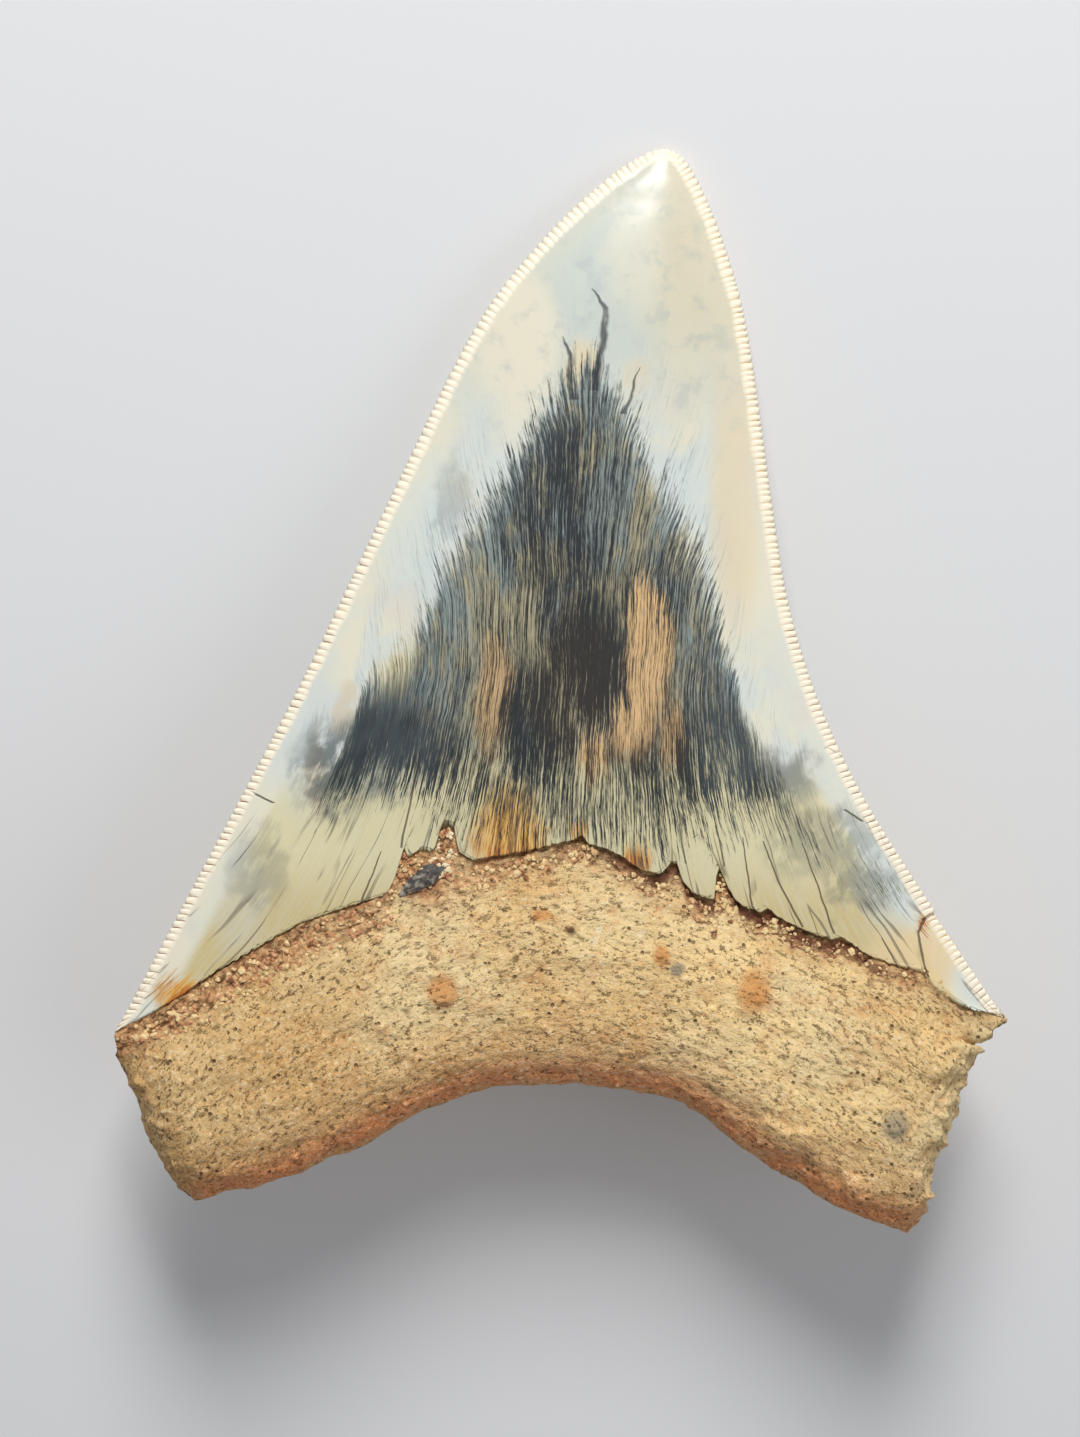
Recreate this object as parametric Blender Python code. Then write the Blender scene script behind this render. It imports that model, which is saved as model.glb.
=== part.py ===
"""A fossil megalodon tooth, grown as one piece: a saw-edged enamel crown on a thick root with two lobes.

The tooth is drawn upright in millimetres, square onto its flat labial (outer) face: x runs across it, y up
to the tip and z out of that face. It is then laid on its lingual (inner) side, resting on a worn spot of
the root's swelling and on the tip, with the origin under the middle of its box.
"""
import math

import bmesh
import bpy
from mathutils import Matrix, Vector, noise

MM = 0.001

# The outline, and where the enamel ends on either face, in millimetres
TIP = Vector((11.2, 96.3))
LEFT_SHOULDER = Vector((-48.4, 0.6))
RIGHT_SHOULDER = Vector((48.3, 2.2))
LEFT_LOBE = Vector((-40.0, -18.0))
RIGHT_LOBE = Vector((37.8, -21.5))
LEFT_CUTTING_EDGE = [TIP, (9.0, 95.7), (4.6, 92.8), (-2.3, 86.2), (-9.6, 76.5), (-19.2, 57.2),
                     (-28.6, 37.8), (-38.9, 18.4), LEFT_SHOULDER]
RIGHT_CUTTING_EDGE = [TIP, (12.9, 95.6), (14.8, 92.9), (17.6, 86.2), (20.2, 76.5), (23.0, 57.2),
                      (24.6, 47.5), (27.5, 37.8), (31.8, 28.1), (37.6, 18.4), RIGHT_SHOULDER]
LABIAL_BASE = [LEFT_SHOULDER, (-43.0, 3.6), (-37.4, 6.9), (-28.2, 12.4), (-19.2, 15.8), (-13.5, 20.6),
               (-9.8, 19.2), (-4.4, 19.7), (1.5, 21.2), (8.5, 16.7), (15.0, 14.3), (17.2, 17.0),
               (19.9, 13.8), (29.0, 10.2), (36.6, 7.5), (42.5, 4.0), RIGHT_SHOULDER]
LINGUAL_BASE = [LEFT_SHOULDER, (-36.0, 6.8), (-18.0, 15.2), (-5.0, 21.0), (4.0, 23.0), (12.0, 20.6),
                (26.0, 13.2), (38.0, 7.0), RIGHT_SHOULDER]
LEFT_ROOT_END = [LEFT_SHOULDER, (-47.6, -2.0), (-44.3, -11.3), (-42.2, -16.2), LEFT_LOBE]
RIGHT_ROOT_END = [RIGHT_SHOULDER, (46.3, -0.6), (43.4, -6.8), (42.6, -11.2), (40.2, -17.3),
                  (40.0, -19.8), RIGHT_LOBE]
BASAL_ARCH = [LEFT_LOBE, (-32.9, -16.2), (-24.0, -13.0), (-14.5, -7.9), (-7.1, -5.6), (-1.0, -5.1),
              (8.0, -5.7), (14.2, -7.8), (21.5, -13.2), (30.0, -18.3), RIGHT_LOBE]

# The crown's thickness down its middle, as (how far down from the tip, height off the cutting edges)
LABIAL_RISE = [(0.0, 0.0), (0.04, 0.8), (0.15, 1.8), (0.4, 2.8), (0.8, 2.9), (1.0, 2.3)]
LINGUAL_DEPTH = [(0.0, 0.0), (0.04, 1.4), (0.15, 3.4), (0.4, 7.2), (0.7, 11.4), (1.0, 15.5)]
EDGE_DROP = 1.2              # how far the cutting edges lean back by the shoulders

# The root's thickness
ROOT_FACE = 1.6              # height of its flat labial face
ROOT_RIM = -5.4              # height of its outermost line
LOBE_DEPTH = 12.5            # how far back the lobes reach
SWELLING_DEPTH = 23.0        # how far back the swelling over the arch reaches
SWELLING_DOWN = 0.36         # its place between enamel base and basal arch
SWELLING_HEIGHT = 0.5        # its size that way
SWELLING_WIDTH = 0.55        # and to each side, as a share of the half width
END_ROLL = 0.88              # where the root rounds over towards its two ends
ARCH_ROLL = 0.64             # and towards the basal arch

# Relief
SERRATIONS_IN_A_ROW = 4
SERRATION_DEPTH = 0.35
ENAMEL_LIP = 0.9             # the enamel ends in a step this high over the labial root
BOURLETTE_DEPTH = 0.45       # the band between enamel and root on the lingual side is this much lower
BOURLETTE_TOP = 0.84
LUMPS = [(4.6, 0.34), (2.2, 0.22)]                  # size and height of the root's lumps
FRACTURE_START = 36.0        # the right end of the root is broken off from here on
FRACTURE_LUMPS = [(3.6, 1.0), (1.8, 0.6)]
PITS = [(-13.1, 4.6, 2.4, 0.5), (20.4, 4.3, 2.3, 0.4), (1.2, 11.9, 1.7, 0.9), (-43.0, -3.2, 2.2, 0.6),
        (33.5, -12.4, 2.6, 0.7), (28.0, -9.0, 1.8, 0.5)]        # x, y, radius and depth on the labial root
NUTRIENT_HOLE = (2.0, -1.5, 1.8, 1.8)                           # and on the lingual swelling
WORN_SPOT = 0.9              # depth worn flat off the swelling, where the tooth rests

# Mesh
COLUMNS = 36
CROWN_ROWS = 37
ROOT_ROWS = 23

ENAMEL_COLOR = (0.60, 0.62, 0.56, 1.0)
ENAMEL_ROUGHNESS = 0.25
ROOT_COLOR = (0.50, 0.36, 0.17, 1.0)
ROOT_ROUGHNESS = 0.9


def smooth_curve(points, steps=12):
    """The way along a smooth curve through the points, as a function of a share from 0 to 1."""
    knots = [Vector(point) for point in points]
    knots = [2 * knots[0] - knots[1], *knots, 2 * knots[-1] - knots[-2]]
    line = []
    for a, b, c, d in zip(knots, knots[1:], knots[2:], knots[3:]):
        for step in range(steps):
            t = step / steps
            bend = (2 * a - 5 * b + 4 * c - d) * t**2 + (3 * b - a - 3 * c + d) * t**3
            line.append(0.5 * (2 * b + (c - a) * t + bend))
    line.append(knots[-2])
    reach = [0.0]
    for start, end in zip(line, line[1:]):
        reach.append(reach[-1] + (end - start).length)

    def at(share):
        wanted = share * reach[-1]
        i = max(k for k in range(len(line) - 1) if reach[k] <= wanted)
        return line[i].lerp(line[i + 1], (wanted - reach[i]) / (reach[i + 1] - reach[i]))

    return at


left_edge = smooth_curve(LEFT_CUTTING_EDGE)
right_edge = smooth_curve(RIGHT_CUTTING_EDGE)
labial_base = smooth_curve(LABIAL_BASE)
lingual_base = smooth_curve(LINGUAL_BASE)
left_end = smooth_curve(LEFT_ROOT_END)
right_end = smooth_curve(RIGHT_ROOT_END)
basal_arch = smooth_curve(BASAL_ARCH)


def ease(start, end, value):
    """Rises smoothly from 0 at start to 1 at end."""
    t = min(max((value - start) / (end - start), 0.0), 1.0)
    return t * t * (3 - 2 * t)


def mix(first, second, share):
    return first * (1 - share) + second * share


def through(stations, value):
    """Reads a height off a list of (place, height)."""
    for (a, low), (b, high) in zip(stations, stations[1:]):
        if value <= b:
            return mix(low, high, (value - a) / (b - a))
    return stations[-1][1]


def roll(start, value):
    """1 up to start, then a quarter of an ellipse down to 0 at value 1."""
    t = min(max((value - start) / (1 - start), 0.0), 1.0)
    return math.sqrt(1 - t * t)


def labial_crown(across, down):
    return through(LABIAL_RISE, down) * (1 - abs(across) ** 2.4)


def lingual_crown(across, down):
    return through(LINGUAL_DEPTH, down) * ((1 + math.cos(math.pi * across)) / 2) ** 0.75


def crown_point(labial, across, down):
    """across runs from -1 to 1 between the cutting edges, down from 0 at the tip to 1 at the base."""
    share = (across + 1) / 2
    plan = left_edge(down).lerp(right_edge(down), share)
    base = labial_base if labial else lingual_base
    plan += (base(share) - LEFT_SHOULDER.lerp(RIGHT_SHOULDER, share)) * down**2
    height = -EDGE_DROP * down
    if labial:
        height += labial_crown(across, down)
    else:
        chevron = mix(BOURLETTE_TOP, 1.0, abs(across))
        step = ease(chevron - 0.02, chevron + 0.01, down) * math.sqrt(1 - abs(across))
        height += BOURLETTE_DEPTH * step - lingual_crown(across, down)
    return plan.to_3d() + Vector((0, 0, height))


def root_point(labial, across, down):
    """across runs from -1 to 1 between the root's ends, down from 0 at the enamel to 1 at the arch."""
    share = (across + 1) / 2
    base = labial_base if labial else lingual_base
    plan = base(share).lerp(basal_arch(share), down)
    plan += (left_end(down) - LEFT_SHOULDER.lerp(LEFT_LOBE, down)) * (1 - share)
    plan += (right_end(down) - RIGHT_SHOULDER.lerp(RIGHT_LOBE, down)) * share
    rooted = ease(0.0, 0.4, down)
    rim = mix(-EDGE_DROP, ROOT_RIM, rooted)
    ends = roll(END_ROLL, abs(across))
    if labial:
        face = mix(labial_crown(across, 1), (ROOT_FACE - ROOT_RIM) * ends, rooted)
        lip = ENAMEL_LIP * (1 - rooted) * (1 - abs(across)) ** 0.2
        height = rim + face * roll(ARCH_ROLL, down) - lip
    else:
        swelling = math.exp(-abs(across / SWELLING_WIDTH) ** 3
                            - abs((down - SWELLING_DOWN) / SWELLING_HEIGHT) ** 3)
        depth = mix(LOBE_DEPTH, SWELLING_DEPTH, swelling) + ROOT_RIM
        height = rim - mix(lingual_crown(across, 1), depth * ends, rooted) * roll(ARCH_ROLL, down)
    return plan.to_3d() + Vector((0, 0, height))


def shell(mesh):
    """One grid wrapped round the tooth, over the labial face and back over the lingual one."""
    rows = CROWN_ROWS + 1 + ROOT_ROWS
    across_of = mesh.verts.layers.float.new("across")
    down_of = mesh.verts.layers.float.new("down")
    bmesh.ops.create_grid(mesh, x_segments=2 * COLUMNS, y_segments=rows, size=1)
    for vert in mesh.verts:
        turn = vert.co.x + 1                # 0 to 1 over the labial face, 1 to 2 over the lingual one
        row = round((1 - vert.co.y) / 2 * rows)
        labial = turn <= 1
        even = 2 * (turn if labial else 2 - turn) - 1
        if row <= CROWN_ROWS:
            down = row / CROWN_ROWS
            across = 0.7 * even + 0.3 * even**3
            vert.co = crown_point(labial, across, down)
        else:
            down = math.sin(math.pi / 2 * (row - CROWN_ROWS - 1) / ROOT_ROWS)
            across = mix(0.7 * even + 0.3 * even**3, math.sin(math.pi / 2 * even), ease(0, 0.3, down))
            vert.co = root_point(labial, across, down)
            down += 1
        vert[across_of] = across
        vert[down_of] = down
    for face in mesh.faces:
        face.smooth = True
        face.material_index = int(min(vert[down_of] for vert in face.verts) >= 1)
    bmesh.ops.remove_doubles(mesh, verts=mesh.verts, dist=1e-4)
    bmesh.ops.recalc_face_normals(mesh, faces=mesh.faces)
    return across_of, down_of


def cut_serrations(mesh, across_of, down_of):
    """Fine teeth along both cutting edges, with a zigzag of points let into each row's edge."""
    on_edge = [edge for edge in mesh.edges
               if all(abs(vert[across_of]) > 0.999 and vert[down_of] <= 1 for vert in edge.verts)]
    bmesh.ops.subdivide_edges(mesh, edges=on_edge, cuts=2 * SERRATIONS_IN_A_ROW - 1)
    for vert in mesh.verts:
        down = vert[down_of]
        if abs(vert[across_of]) < 0.999 or not 0 < down < 1:
            continue
        edge = left_edge if vert[across_of] < 0 else right_edge
        ahead = edge(min(down + 0.004, 1)) - edge(max(down - 0.004, 0))
        outward = Vector((ahead.y, -ahead.x)).normalized() * (1 if vert[across_of] < 0 else -1)
        point = round(down * CROWN_ROWS * 2 * SERRATIONS_IN_A_ROW)
        plan = edge(down) - outward * SERRATION_DEPTH * (point % 2) * ease(0, 0.03, down)
        vert.co = plan.to_3d() + Vector((0, 0, -EDGE_DROP * down))


def roughen_root(mesh, down_of):
    """Lumps over the whole root, coarser ones on its broken end, pits and the nutrient hole."""
    mesh.normal_update()
    moves = []
    for vert in mesh.verts:
        if vert[down_of] <= 1:
            continue
        strength = ease(1.0, 1.15, vert[down_of])
        height = sum(size * noise.noise(vert.co / spacing) for spacing, size in LUMPS)
        broken = ease(FRACTURE_START, FRACTURE_START + 6, vert.co.x)
        height += broken * sum(size * noise.noise(vert.co / spacing) for spacing, size in FRACTURE_LUMPS)
        holes = PITS if vert.normal.z > 0 else [NUTRIENT_HOLE]
        for x, y, radius, depth in holes:
            away = math.hypot(vert.co.x - x, vert.co.y - y) / radius
            height -= depth * (1 - ease(0.2, 1, away))
        moves.append((vert, vert.normal * height * strength))
    for vert, move in moves:
        vert.co += move


def lay_down(mesh):
    """Leans the tooth back until the tip is as low as the swelling, and wears the swelling flat."""
    half_way = TIP.y / 2
    root = [vert for vert in mesh.verts if vert.co.y < half_way]
    crown = [vert for vert in mesh.verts if vert.co.y >= half_way]
    for _ in range(8):
        swelling = min((vert.co for vert in root), key=lambda co: co.z)
        point = min((vert.co for vert in crown), key=lambda co: co.z)
        lean = math.atan2(point.z - swelling.z - WORN_SPOT, point.y - swelling.y)
        bmesh.ops.rotate(mesh, verts=mesh.verts, matrix=Matrix.Rotation(-lean, 3, "X"))
    floor = min(vert.co.z for vert in crown)
    for vert in root:
        vert.co.z = max(vert.co.z, floor)
    corners = [[function(vert.co[axis] for vert in mesh.verts) for axis in range(3)]
               for function in (min, max)]
    middle = (Vector(corners[0]) + Vector(corners[1])) / 2
    bmesh.ops.translate(mesh, verts=mesh.verts, vec=(-middle.x, -middle.y, -floor))


def material(name, color, roughness):
    made = bpy.data.materials.new(name)
    made.use_nodes = True
    shader = made.node_tree.nodes["Principled BSDF"]
    shader.inputs["Base Color"].default_value = color
    shader.inputs["Roughness"].default_value = roughness
    return made


def tooth():
    mesh = bmesh.new()
    across_of, down_of = shell(mesh)
    cut_serrations(mesh, across_of, down_of)
    roughen_root(mesh, down_of)
    lay_down(mesh)
    bmesh.ops.triangulate(mesh, faces=mesh.faces)
    bmesh.ops.scale(mesh, verts=mesh.verts, vec=(MM, MM, MM))
    data = bpy.data.meshes.new("tooth")
    mesh.to_mesh(data)
    mesh.free()
    data.set_sharp_from_angle(angle=math.radians(40))
    data.materials.append(material("enamel", ENAMEL_COLOR, ENAMEL_ROUGHNESS))
    data.materials.append(material("root", ROOT_COLOR, ROOT_ROUGHNESS))
    made = bpy.data.objects.new("tooth", data)
    bpy.context.collection.objects.link(made)


for old in list(bpy.data.objects):
    bpy.data.objects.remove(old)
tooth()
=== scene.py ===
import functools
import math
import random

import bmesh
import bpy
import numpy as np
from mathutils import Matrix, Vector, noise


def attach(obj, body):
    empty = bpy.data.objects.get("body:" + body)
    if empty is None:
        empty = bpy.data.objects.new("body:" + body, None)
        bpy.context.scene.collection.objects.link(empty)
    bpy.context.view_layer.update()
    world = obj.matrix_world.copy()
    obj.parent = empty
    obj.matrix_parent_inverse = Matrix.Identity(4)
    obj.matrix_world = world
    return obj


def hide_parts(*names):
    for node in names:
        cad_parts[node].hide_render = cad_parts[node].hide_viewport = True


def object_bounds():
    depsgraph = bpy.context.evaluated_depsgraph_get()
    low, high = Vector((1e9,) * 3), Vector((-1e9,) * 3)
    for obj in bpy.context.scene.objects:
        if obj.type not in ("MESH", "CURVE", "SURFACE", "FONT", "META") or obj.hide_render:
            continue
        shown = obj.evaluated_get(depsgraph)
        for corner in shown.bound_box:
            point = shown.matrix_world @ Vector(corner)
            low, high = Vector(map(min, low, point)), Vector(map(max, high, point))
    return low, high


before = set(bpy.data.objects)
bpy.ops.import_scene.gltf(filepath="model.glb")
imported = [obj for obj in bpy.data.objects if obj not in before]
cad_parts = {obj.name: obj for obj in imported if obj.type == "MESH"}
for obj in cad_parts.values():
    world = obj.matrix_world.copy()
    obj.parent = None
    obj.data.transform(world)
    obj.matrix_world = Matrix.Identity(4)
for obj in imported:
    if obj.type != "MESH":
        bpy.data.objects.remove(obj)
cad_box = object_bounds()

# --- Root ---
# The root is spongy, bone-like dentine that the ground has turned to tan stone. It grew in one with the
# crown as a thick bar with two lobes and a swelling behind. Its right end is broken off, sand and rust
# cling under the enamel's edge, and pits and fine grain follow its arch.

MM = 0.001
LEAN = math.radians(14.034)                 # how far back the tooth leans as it lies
REST_SHIFT = (0.05, -35.608, 24.261)        # from the upright tooth's own frame to where it lies, mm

# The outline, in the upright tooth's frame: x across it, y up to the tip, z out of its labial face, mm
HALF_WIDTH = 48              # from the middle to either shoulder

LEFT_SHOULDER = (-48.4, 0.6)
RIGHT_SHOULDER = (48.3, 2.2)
LEFT_LOBE = (-40.0, -18.0)
RIGHT_LOBE = (37.8, -21.5)
ROOT_TOP = [LEFT_SHOULDER, (-43.0, 3.2), (-37.4, 6.9), (-28.2, 12.2), (-19.2, 16.0), (-9.8, 18.6),
            (0.0, 19.8), (8.5, 17.6), (19.0, 14.2), (29.0, 10.0), (36.6, 7.3), (42.5, 4.0),
            RIGHT_SHOULDER]
LINGUAL_BASE = [LEFT_SHOULDER, (-36.0, 6.8), (-18.0, 15.2), (-5.0, 21.0), (4.0, 23.0), (12.0, 20.6),
                (26.0, 13.2), (38.0, 7.0), RIGHT_SHOULDER]
LEFT_ROOT_END = [LEFT_SHOULDER, (-47.9, -2.5), (-46.6, -6.0), (-44.4, -11.8), (-42.1, -15.7), LEFT_LOBE]
RIGHT_ROOT_END = [RIGHT_SHOULDER, (46.2, 0.1), (44.9, -0.7), (46.2, -1.4), (45.1, -3.0), (43.6, -5.7),
                  (43.3, -8.0), (42.0, -11.4), (40.5, -15.1), (39.8, -17.0), (40.0, -19.3), RIGHT_LOBE]
BASAL_ARCH = [LEFT_LOBE, (-36.6, -17.0), (-31.1, -15.6), (-24.4, -13.1), (-17.8, -9.6), (-12.5, -7.2),
              (-7.1, -5.6), (-1.0, -5.1), (8.0, -5.7), (14.2, -7.8), (21.5, -13.2), (30.0, -18.3),
              RIGHT_LOBE]
# Where the enamel breaks off over the labial root, from left to right
ENAMEL_END = [LEFT_SHOULDER, (-45.9, 1.6), (-43.8, 2.7), (-41.1, 4.3), (-37.4, 6.8), (-33.6, 9.0),
              (-28.2, 12.1), (-23.9, 13.6), (-19.2, 15.1), (-18.6, 16.2), (-17.9, 18.8), (-17.3, 20.9),
              (-16.5, 19.4), (-15.1, 20.4), (-14.0, 19.8), (-13.6, 22.6), (-13.0, 23.3), (-12.2, 23.3),
              (-11.5, 22.6), (-11.1, 20.0), (-10.4, 19.4), (-9.5, 18.9), (-7.1, 19.3), (-4.0, 19.8),
              (-0.8, 20.6), (1.3, 21.1), (2.4, 21.6), (3.2, 20.6), (5.4, 20.0), (7.1, 19.0), (8.9, 17.7),
              (10.8, 17.4), (11.9, 18.7), (13.0, 18.7), (13.5, 16.5), (14.7, 15.1), (16.5, 14.6),
              (16.8, 17.7), (17.4, 18.5), (18.0, 18.0), (18.3, 16.4), (19.6, 14.0), (21.7, 13.2),
              (22.5, 13.9), (23.2, 13.2), (24.2, 12.4), (26.2, 11.3), (29.2, 10.3), (30.2, 10.6),
              (31.5, 10.0), (33.7, 8.4), (36.3, 7.5), (39.4, 6.9), (41.5, 4.8), (43.8, 3.0),
              (46.2, 2.1), RIGHT_SHOULDER]
CHIP_HEIGHT = 0.22           # of the fine chipping along that break

EDGE_DROP = 1.2              # how far the cutting edges lean back by the shoulders
ENAMEL_LIP = 0.9             # the enamel's broken edge stands this high over the labial root
LIP_SHARES = ((0.3, 0.6, 0.8, 0.87), (0.45, 1, 1, 0.35))    # and how much of that, from left to right
# How far the crown's faces stand out down their middle, as (share of the way down, millimetres)
LABIAL_RISE = [(0.0, 0.0), (0.03, 0.7), (0.07, 1.3), (0.15, 1.9), (0.4, 2.8), (0.7, 2.9), (0.8, 2.9),
               (1.0, 2.3)]
LINGUAL_DEPTH = [(0.0, 0.0), (0.04, 1.4), (0.15, 3.4), (0.4, 7.2), (0.7, 11.4), (0.8, 12.8),
                 (1.0, 15.5)]
FLAT_SECTION = 2.4           # the labial face's cross section is flat over most of the crown
POINT_SECTION = 1.9          # and rounder at the tip
ROOT_FACE = 1.6              # height of the root's flat labial face
ROOT_RIM = -5.4              # height of its outermost line
LOBE_DEPTH = 12.5            # how far back the lobes reach
SWELLING_DEPTH = 23.0        # how far back the swelling over the arch reaches
SWELLING_DOWN = 0.36         # its place between enamel and basal arch
SWELLING_HEIGHT = 0.5        # its size that way
SWELLING_WIDTH = 0.55        # and to each side, as a share of the half width
END_ROLL = 0.88              # where the root rounds over towards its two ends
ARCH_ROLL = 0.64             # and towards the basal arch
TUCK = 6.0                   # the root runs on this far inside the crown

ROOT_COLUMNS = 216           # of the mesh, round half of the root
ROOT_ROWS = 76
HIDDEN_ROWS = 0.06           # share of the rows inside the crown
FLAT_ROWS = 0.6              # and down to where the arch rolls over
FLAT_COLUMNS = 0.8           # share of the columns up to where the ends roll over
MERGE = 1e-4                 # points of the wrapped grid that are this near are one


def smooth_line(points, steps=12):
    """A smooth line through the points: its places, and how far along it each of them is, 0 to 1."""
    knots = np.array(points, float)
    knots = np.vstack([2 * knots[0] - knots[1], knots, 2 * knots[-1] - knots[-2]])
    a, b, c, d = (knots[i:len(knots) - 3 + i, None] for i in range(4))
    t = np.linspace(0, 1, steps, endpoint=False)[None, :, None]
    line = 0.5 * (2 * b + (c - a) * t + (2 * a - 5 * b + 4 * c - d) * t**2
                  + (3 * b - a - 3 * c + d) * t**3)
    line = np.vstack([line.reshape(-1, 2), knots[-2]])
    reach = np.concatenate([[0], np.cumsum(np.hypot(*np.diff(line, axis=0).T))])
    return line, reach / reach[-1]


def along(curve, share):
    """The places at a share, 0 to 1, of the way along a smooth line."""
    line, reach = curve
    return np.stack([np.interp(share, reach, line[:, i]) for i in range(2)], axis=1)


def ease(start, end, value):
    """Rises smoothly from 0 at start to 1 at end."""
    t = np.clip((value - start) / (end - start), 0, 1)
    return t * t * (3 - 2 * t)


def mix(first, second, share):
    return first * (1 - share) + second * share


def ragged(x):
    """The y at which the labial enamel ends, with its fine chipping."""
    line = np.array(ENAMEL_END)
    chips = np.array([noise.noise(Vector((at * 1.9, 3, 0))) + 0.6 * noise.noise(Vector((at * 4.3, 8, 0)))
                      for at in x])
    fading = np.clip((HALF_WIDTH - np.abs(x)) / 4, 0, 1)
    return np.interp(x, line[:, 0], line[:, 1]) + CHIP_HEIGHT * chips * fading


labial_rise = smooth_line(LABIAL_RISE)[0].T
lingual_depth = smooth_line(LINGUAL_DEPTH)[0].T


def labial_crown(across, down):
    """across runs from -1 to 1 between the cutting edges, down from 0 at the tip to 1 at the foot."""
    section = mix(FLAT_SECTION, POINT_SECTION, 1 - ease(0.04, 0.2, down))
    return np.interp(down, *labial_rise) * (1 - np.abs(across) ** section)


def lingual_crown(across, down):
    section = ((1 + np.cos(np.pi * across)) / 2) ** 0.75
    return np.interp(down, *lingual_depth) * section


root_top, lingual_base, left_end, right_end, basal_arch = (
    smooth_line(line) for line in (ROOT_TOP, LINGUAL_BASE, LEFT_ROOT_END, RIGHT_ROOT_END, BASAL_ARCH))


def root_places(turn, row):
    """The root's form over a flat grid. turn runs 0 to 1 over the labial side and 1 to 2 back over the
    lingual one; row runs 0 to 1 from the end hidden in the crown to the rim of the basal arch."""
    labial = turn <= 1
    even = np.where(labial, 2 * turn - 1, 3 - 2 * turn)
    end_turn = np.clip((np.abs(even) - FLAT_COLUMNS) / (1 - FLAT_COLUMNS), 0, 1) * math.pi / 2
    rolled = np.where(np.abs(even) < FLAT_COLUMNS, np.abs(even) / FLAT_COLUMNS * END_ROLL,
                      END_ROLL + (1 - END_ROLL) * np.sin(end_turn))
    hidden = np.clip(1 - row / HIDDEN_ROWS, 0, 1)
    shown = np.clip((row - HIDDEN_ROWS) / (FLAT_ROWS - HIDDEN_ROWS), 0, 1)
    arch_turn = np.clip((row - FLAT_ROWS) / (1 - FLAT_ROWS), 0, 1) * math.pi / 2
    down = shown * ARCH_ROLL + (1 - ARCH_ROLL) * np.sin(arch_turn)
    across = np.sign(even) * mix(np.abs(even), rolled, ease(0, 0.3, down))
    share = (across + 1) / 2
    top = np.where(labial[:, None], along(root_top, share), along(lingual_base, share))
    plan = mix(top, along(basal_arch, share), down[:, None])
    for end, shoulder, lobe, weight in ((left_end, LEFT_SHOULDER, LEFT_LOBE, 1 - share),
                                        (right_end, RIGHT_SHOULDER, RIGHT_LOBE, share)):
        straight = mix(np.array(shoulder), np.array(lobe), down[:, None])
        plan = plan + (along(end, down) - straight) * weight[:, None] ** 4
    tucked = along(root_top, share)
    tucked[:, 1] += TUCK * (1 - np.abs(across)) ** 0.6
    plan = mix(plan, tucked, hidden[:, None])
    rooted = ease(0.0, 0.4, down)
    rim = mix(-EDGE_DROP, ROOT_RIM, rooted)
    ends = np.cos(end_turn)
    margin = np.cos(arch_turn)
    lip = ENAMEL_LIP * np.interp(share, *LIP_SHARES) * (1 - rooted) * (1 - np.abs(across)) ** 0.2
    front = mix(labial_crown(across, 1), (ROOT_FACE - ROOT_RIM) * ends, rooted) * margin - lip
    swelling = np.exp(-np.abs(across / SWELLING_WIDTH) ** 3
                      - np.abs((down - SWELLING_DOWN) / SWELLING_HEIGHT) ** 3)
    depth = mix(LOBE_DEPTH, SWELLING_DEPTH, swelling) + ROOT_RIM
    back = mix(lingual_crown(across, 1), depth * ends, rooted) * margin
    inside = 1 - ease(0.85, 1, hidden)
    height = rim + np.where(labial, front, -back) * inside
    return np.column_stack([plan, height]), across, down, labial


def flat_grid(columns, rows, traits):
    """A grid, 2 wide and 1 high, to be wrapped round the tooth: x is the turn and y the row. Each trait
    gets a float layer on it."""
    mesh = bmesh.new()
    layers = [mesh.verts.layers.float.new(trait) for trait in traits]
    bmesh.ops.create_grid(mesh, x_segments=2 * columns, y_segments=rows, size=1)
    bmesh.ops.transform(mesh, verts=mesh.verts,
                        matrix=Matrix.Translation((1, 0.5, 0)) @ Matrix.Diagonal((1, -0.5, 1, 1)))
    return mesh, layers


def refine(mesh, cuts, chosen):
    """Cuts up the edges of the grid for whose two ends chosen(first, second) holds."""
    edges = [edge for edge in mesh.edges if chosen(*(vert.co for vert in edge.verts))]
    bmesh.ops.subdivide_edges(mesh, edges=edges, cuts=cuts, use_grid_fill=True)


def places(mesh):
    return np.array([vert.co for vert in mesh.verts])


def directions(mesh):
    mesh.normal_update()
    return np.array([vert.normal for vert in mesh.verts])


def set_places(mesh, points):
    for vert, co in zip(mesh.verts, points):
        vert.co = co


def wrap(mesh, points, layers, values):
    """Wraps the grid round the tooth, joins its seam, and gives each layer's values at the places left."""
    set_places(mesh, points)
    for layer, column in zip(layers, values):
        for vert, value in zip(mesh.verts, column):
            vert[layer] = value
    bmesh.ops.remove_doubles(mesh, verts=mesh.verts, dist=MERGE)
    bmesh.ops.recalc_face_normals(mesh, faces=mesh.faces)
    return [np.array([vert[layer] for vert in mesh.verts]) for layer in layers]


def lumps(points, spacing):
    """Soft lumps about as wide as spacing, between about -1 and 1."""
    return np.array([noise.noise(Vector(point) / spacing) for point in points])


def crumbs(points, spacing):
    """Rounded grains about as wide as spacing, 0 between them and about 1 on top."""
    away = np.array([noise.voronoi(Vector(point) / spacing)[0][0] for point in points])
    return np.maximum(0, 1 - 2.2 * away ** 2)


def laid(points):
    """From the upright tooth in millimetres to where it lies, in metres."""
    x, y, z = points.T
    turned = np.column_stack([x, y * math.cos(LEAN) + z * math.sin(LEAN),
                              z * math.cos(LEAN) - y * math.sin(LEAN)])
    return (turned + np.array(REST_SHIFT)) * MM


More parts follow.
